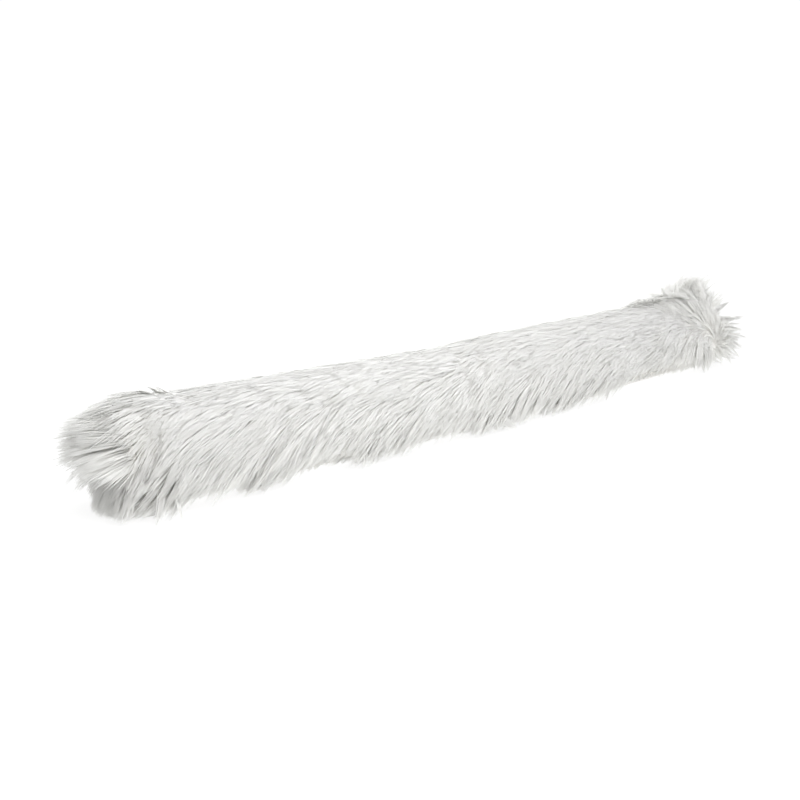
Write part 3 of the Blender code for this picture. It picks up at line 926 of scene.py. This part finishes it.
# %% Table of the placed locks
PLACED_LOCKS = (
    # x, arc of the root; x, y, z of the tip, from the tube's middle line; bulge; strands; patch
    (-0.430, -0.102, -0.449, -0.052, 0.001, 0.14, 40, 0.009),
    (-0.415, -0.106, -0.436, -0.052, 0.001, 0.14, 28, 0.008),
    (-0.420, -0.106, -0.426, -0.060, 0.001, 0.16, 18, 0.004),
    (-0.390, 0.004, -0.410, 0.010, 0.1095, 0.03, 30, 0.014),
    (-0.396, 0.007, -0.418, 0.013, 0.1108, 0.03, 26, 0.012),
    (-0.403, 0.004, -0.428, 0.010, 0.1092, 0.03, 30, 0.014),
    (-0.318, -0.106, -0.334, -0.048, 0.001, 0.12, 28, 0.007),
    (-0.204, -0.102, -0.216, -0.052, 0.001, 0.12, 34, 0.007),
    (-0.192, -0.102, -0.204, -0.052, 0.001, 0.12, 28, 0.006),
    (-0.150, -0.106, -0.160, -0.046, 0.001, 0.12, 22, 0.006),
    (-0.042, -0.104, -0.050, -0.045, 0.001, 0.12, 28, 0.006),
    (-0.026, -0.102, -0.022, -0.052, 0.001, 0.12, 40, 0.008),
    (-0.022, -0.102, 0.008, -0.058, 0.001, 0.14, 40, 0.007),
    (0.064, -0.106, 0.062, -0.046, 0.001, 0.12, 26, 0.006),
    (0.095, -0.106, 0.086, -0.046, 0.001, 0.12, 24, 0.006),
    (0.190, -0.106, 0.182, -0.044, 0.001, 0.12, 26, 0.006),
    (0.398, -0.104, 0.404, -0.040, 0.001, 0.18, 22, 0.004),
    (0.410, -0.104, 0.416, -0.038, 0.001, 0.18, 18, 0.004),
    (0.385, 0.004, 0.358, 0.010, 0.124, 0.10, 12, 0.003),
    (0.392, 0.000, 0.390, 0.005, 0.124, 0.10, 14, 0.004),
    (0.400, 0.002, 0.401, 0.005, 0.123, 0.10, 14, 0.004),
    (0.424, 0.002, 0.430, -0.002, 0.130, 0.10, 24, 0.008),
    (0.430, 0.002, 0.442, -0.003, 0.133, 0.10, 24, 0.007),
    (0.434, 0.010, 0.452, 0.006, 0.131, 0.10, 22, 0.007),
    (0.440, -0.016, 0.454, -0.012, 0.106, 0.10, 20, 0.006),
    (0.442, -0.036, 0.467, -0.034, 0.094, 0.10, 28, 0.006),
    (0.443, -0.046, 0.462, -0.047, 0.073, 0.10, 26, 0.006),
    (0.443, -0.054, 0.480, -0.056, 0.075, 0.10, 30, 0.006),
    (0.443, -0.058, 0.474, -0.056, 0.064, 0.10, 22, 0.005),
    (0.443, -0.062, 0.476, -0.056, 0.054, 0.10, 28, 0.007),
    (0.443, -0.068, 0.482, -0.062, 0.042, 0.10, 26, 0.006),
    (0.443, -0.074, 0.471, -0.061, 0.027, 0.10, 28, 0.007),
    (0.442, -0.082, 0.466, -0.061, 0.013, 0.10, 26, 0.006),
    (0.440, -0.090, 0.456, -0.053, 0.003, 0.10, 20, 0.005),
    (0.436, -0.098, 0.443, -0.044, 0.005, 0.10, 14, 0.004),
)


STRAND_FULL, STRAND_RANDOM = 0.74, 0.26
TIP_WIDTH = 0.30
ROOT_DEPTH = 0.002
RAY_START = 0.2


def skin_place(tree, x, arc):
    """Point and outward direction of the skin at x and at a way round from its top."""
    height, middle = section_sizes(x + MIDDLE_X)[1:]
    centre = Vector((x + MIDDLE_X, middle, CENTRE_SHARE * height))
    angle = arc / SKIN_RADIUS
    outward = Vector((0, math.sin(angle), math.cos(angle)))
    point, normal = tree.ray_cast(centre + outward * RAY_START, -outward)[:2]
    return point, normal


def placed_roots(skin):
    """A mesh of loose points, one for each strand of each placed lock, with its path as attributes."""
    corners = [vertex.co for vertex in skin.data.vertices]
    surface = BVHTree.FromPolygons(corners, [face.vertices for face in skin.data.polygons])
    dice = np.random.default_rng(SEED)
    roots, tips, normals, bulges, shades = [], [], [], [], []
    for x, arc, tip_x, tip_y, tip_z, bulge, strands, patch in PLACED_LOCKS:
        point, normal = skin_place(surface, x, arc)
        tip = Vector((tip_x + MIDDLE_X, tip_y + LINE_Y, tip_z))
        along = (tip - point).normalized()
        across = along.cross(normal).normalized()
        shade = dice.random()
        for _ in range(strands):
            a, b = dice.normal(0, 0.5, 2) * patch
            roots.append(point + along * a + across * b - normal * ROOT_DEPTH)
            reach = STRAND_FULL + STRAND_RANDOM * dice.random()
            tips.append(point + (tip - point) * reach + across * b * TIP_WIDTH)
            normals.append(normal)
            bulges.append(bulge * (0.7 + 0.6 * dice.random()))
            shades.append(shade)
    mesh = bpy.data.meshes.new("placed_locks")
    mesh.from_pydata(roots, [], [])
    for name, values in (("root", roots), ("tip", tips), ("root_normal", normals)):
        layer = mesh.attributes.new(name, "FLOAT_VECTOR", "POINT")
        layer.data.foreach_set("vector", np.array(values, dtype=float).ravel())
    for name, values in (("bulge", bulges), ("lock_shade", shades)):
        mesh.attributes.new(name, "FLOAT", "POINT").data.foreach_set("value", values)
    return mesh


# %% Tree of the placed locks
def bend_placed(tree, given):
    """Nodes for the place of each point of a placed strand, on a bowed line from its root to its tip."""
    along, bulge = [add(tree, NAMED, {"Name": name}, data_type="FLOAT") for name in ("along", "bulge")]
    root, tip, normal = [add(tree, NAMED, {"Name": name}, data_type="FLOAT_VECTOR")
                         for name in ("root", "tip", "root_normal")]
    way = add(tree, VECTOR, (tip, root), operation="SUBTRACT")
    reach = add(tree, VECTOR, (way,), operation="LENGTH").outputs["Value"]
    arch = add(tree, MATH, (along, 4.0), operation="MULTIPLY")
    rest = add(tree, MATH, (1.0, along), operation="SUBTRACT")
    arch = add(tree, MATH, (arch, rest), operation="MULTIPLY")
    arch = add(tree, MATH, (arch, bulge), operation="MULTIPLY")
    arch = add(tree, MATH, (arch, reach), operation="MULTIPLY")
    path = add(tree, VECTOR, (way, along, root), operation="MULTIPLY_ADD")
    path = add(tree, VECTOR, (normal, arch, path), operation="MULTIPLY_ADD")
    parts = add(tree, SPLIT, (path,)).outputs
    height = add(tree, MATH, (parts["Z"], FLOOR_REST), operation="MAXIMUM")
    path = add(tree, JOIN, (parts["X"], parts["Y"], height))
    side = add(tree, VECTOR, (way, normal), operation="CROSS_PRODUCT")
    side = add(tree, VECTOR, (side,), operation="NORMALIZE")
    face = add(tree, VECTOR, (side, way), operation="CROSS_PRODUCT")
    face = add(tree, VECTOR, (face,), operation="NORMALIZE")
    width = add(tree, MATH, (along, BELLY, 1.0), operation="MULTIPLY_ADD")
    width = add(tree, MATH, (width, given["Half width"]), operation="MULTIPLY")
    return widen(tree, path, side, face, width)


def grow_placed_locks(skin):
    tree = make_tree("placed locks", {
        "Geometry": ("Roots",), "Float": ("Half width",), "Material": ("Material",)})
    given = add(tree, "NodeGroupInput").outputs
    points = add(tree, "GeometryNodeMeshToPoints", (given["Roots"],))
    finish(tree, grow(tree, points), bend_placed(tree, given), given["Material"])
    piece = bpy.data.objects.new("placed_locks", placed_roots(skin))
    return grow_on(piece, tree, {"Half width": STRAND_HALF_WIDTH, "Material": FUR})


piles.append(grow_placed_locks(tube_skin))

# %% [markdown]
# ## The stage
# The object is white on white, so its shade has to come from where light is missing. A large soft key
# light hangs over the front, a little left of the middle, and a weaker one behind lifts the top rim. The
# surround is bright overhead and dim past both ends, so the ends fall into a soft shade, with a white
# band along the horizon. The floor is an opal table lit from below: it stays white right up to the hem,
# and its dark body throws no light back and takes no shadow.

# %% Floor and light
FLOOR_WHITE = "#FFFFFF"
FLOOR_BODY = "#8A8A8A"
FLOOR_GLOW = 0.82
SURROUND = 0.61
END_SHARE = 0.03
OVERHEAD_SHARE = 1.95
BACKDROP = 1.04
KEY_PLACE = (-0.15, -0.56, 0.62)
KEY_POWER = 5.3
KEY_SIZE = 0.7
BACK_PLACE = (0.20, 0.60, 0.45)
BACK_POWER = 3.0
FLOOR_HALF = 60.0
LIGHTS_AIM = Vector((0, 0, 0.05))

# Ranges of the surround: sideways to the dim ends, upwards to overhead, and the fade of the white band
DIM_FROM, DIM_TO = 0.3, 0.95
ABOVE_FROM, ABOVE_TO = 0.1, 0.9
BAND_FROM, BAND_TO = 0.10, 0.14


def make_floor():
    mesh = bpy.data.meshes.new("floor")
    corners = [(x * FLOOR_HALF, y * FLOOR_HALF, 0) for x, y in ((-1, -1), (1, -1), (1, 1), (-1, 1))]
    mesh.from_pydata(corners, [], [(0, 1, 2, 3)])
    floor = bpy.data.objects.new("floor", mesh)
    bpy.context.scene.collection.objects.link(floor)
    material = bpy.data.materials.new("opal acrylic light table")
    material.use_nodes = True
    shader = material.node_tree.nodes["Principled BSDF"]
    shader.inputs["Base Color"].default_value = linear(FLOOR_BODY)
    shader.inputs["Roughness"].default_value = 0.9
    shader.inputs["Specular IOR Level"].default_value = 0.1
    shader.inputs["Emission Color"].default_value = linear(FLOOR_WHITE)
    shader.inputs["Emission Strength"].default_value = FLOOR_GLOW
    mesh.materials.append(material)
    return floor


def make_light(name, place, power, size):
    light = bpy.data.lights.new(name, "AREA")
    light.energy = power
    light.size = size
    lamp = bpy.data.objects.new(name, light)
    lamp.location = place
    lamp.rotation_euler = (Vector(place) - LIGHTS_AIM).to_track_quat("Z", "Y").to_euler()
    bpy.context.scene.collection.objects.link(lamp)
    return lamp


def make_world():
    """A surround that is dimmer past both ends and brighter overhead, with a white band at the horizon."""
    world = bpy.data.worlds.new("studio")
    world.use_nodes = True
    tree = world.node_tree
    tree.nodes.clear()
    way = add(tree, "ShaderNodeTexCoord").outputs["Generated"]
    split = add(tree, SPLIT, (way,)).outputs
    sideways = add(tree, MATH, (split["X"],), operation="ABSOLUTE")
    aside = add(tree, RANGE, {
        "Value": sideways, "From Min": DIM_FROM, "From Max": DIM_TO, "To Min": SURROUND,
        "To Max": SURROUND * END_SHARE})
    above = add(tree, RANGE, {
        "Value": split["Z"], "From Min": ABOVE_FROM, "From Max": ABOVE_TO, "To Min": 1.0,
        "To Max": OVERHEAD_SHARE})
    around = add(tree, MATH, (aside, above), operation="MULTIPLY")
    band = add(tree, RANGE, {
        "Value": split["Z"], "From Min": BAND_FROM, "From Max": BAND_TO, "To Min": BACKDROP, "To Max": 0.0})
    strength = add(tree, MATH, (around, band), operation="MAXIMUM")
    shader = add(tree, "ShaderNodeBackground", {"Color": (1, 1, 1, 1), "Strength": strength})
    add(tree, "ShaderNodeOutputWorld", (shader,))
    bpy.context.scene.world = world


make_floor()
make_light("key", KEY_PLACE, KEY_POWER, KEY_SIZE)
make_light("back", BACK_PLACE, BACK_POWER, KEY_SIZE)
make_world()
bpy.context.scene.view_settings.view_transform = "Standard"
print("stage set")

# %% [markdown]
# ## Tie every piece to the frame
# The skins stand for the solids, and the pile goes with them. All of it is one body.

# %% Frame calls
for skin, node, fill in ((tube_skin, "fur_tube", 0.75), (near_round, "near_end_round", 0.7),
                         (far_round, "far_end_round", 0.7)):
    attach(skin, "root")
    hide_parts(node)
for pile in piles:
    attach(pile, "root")
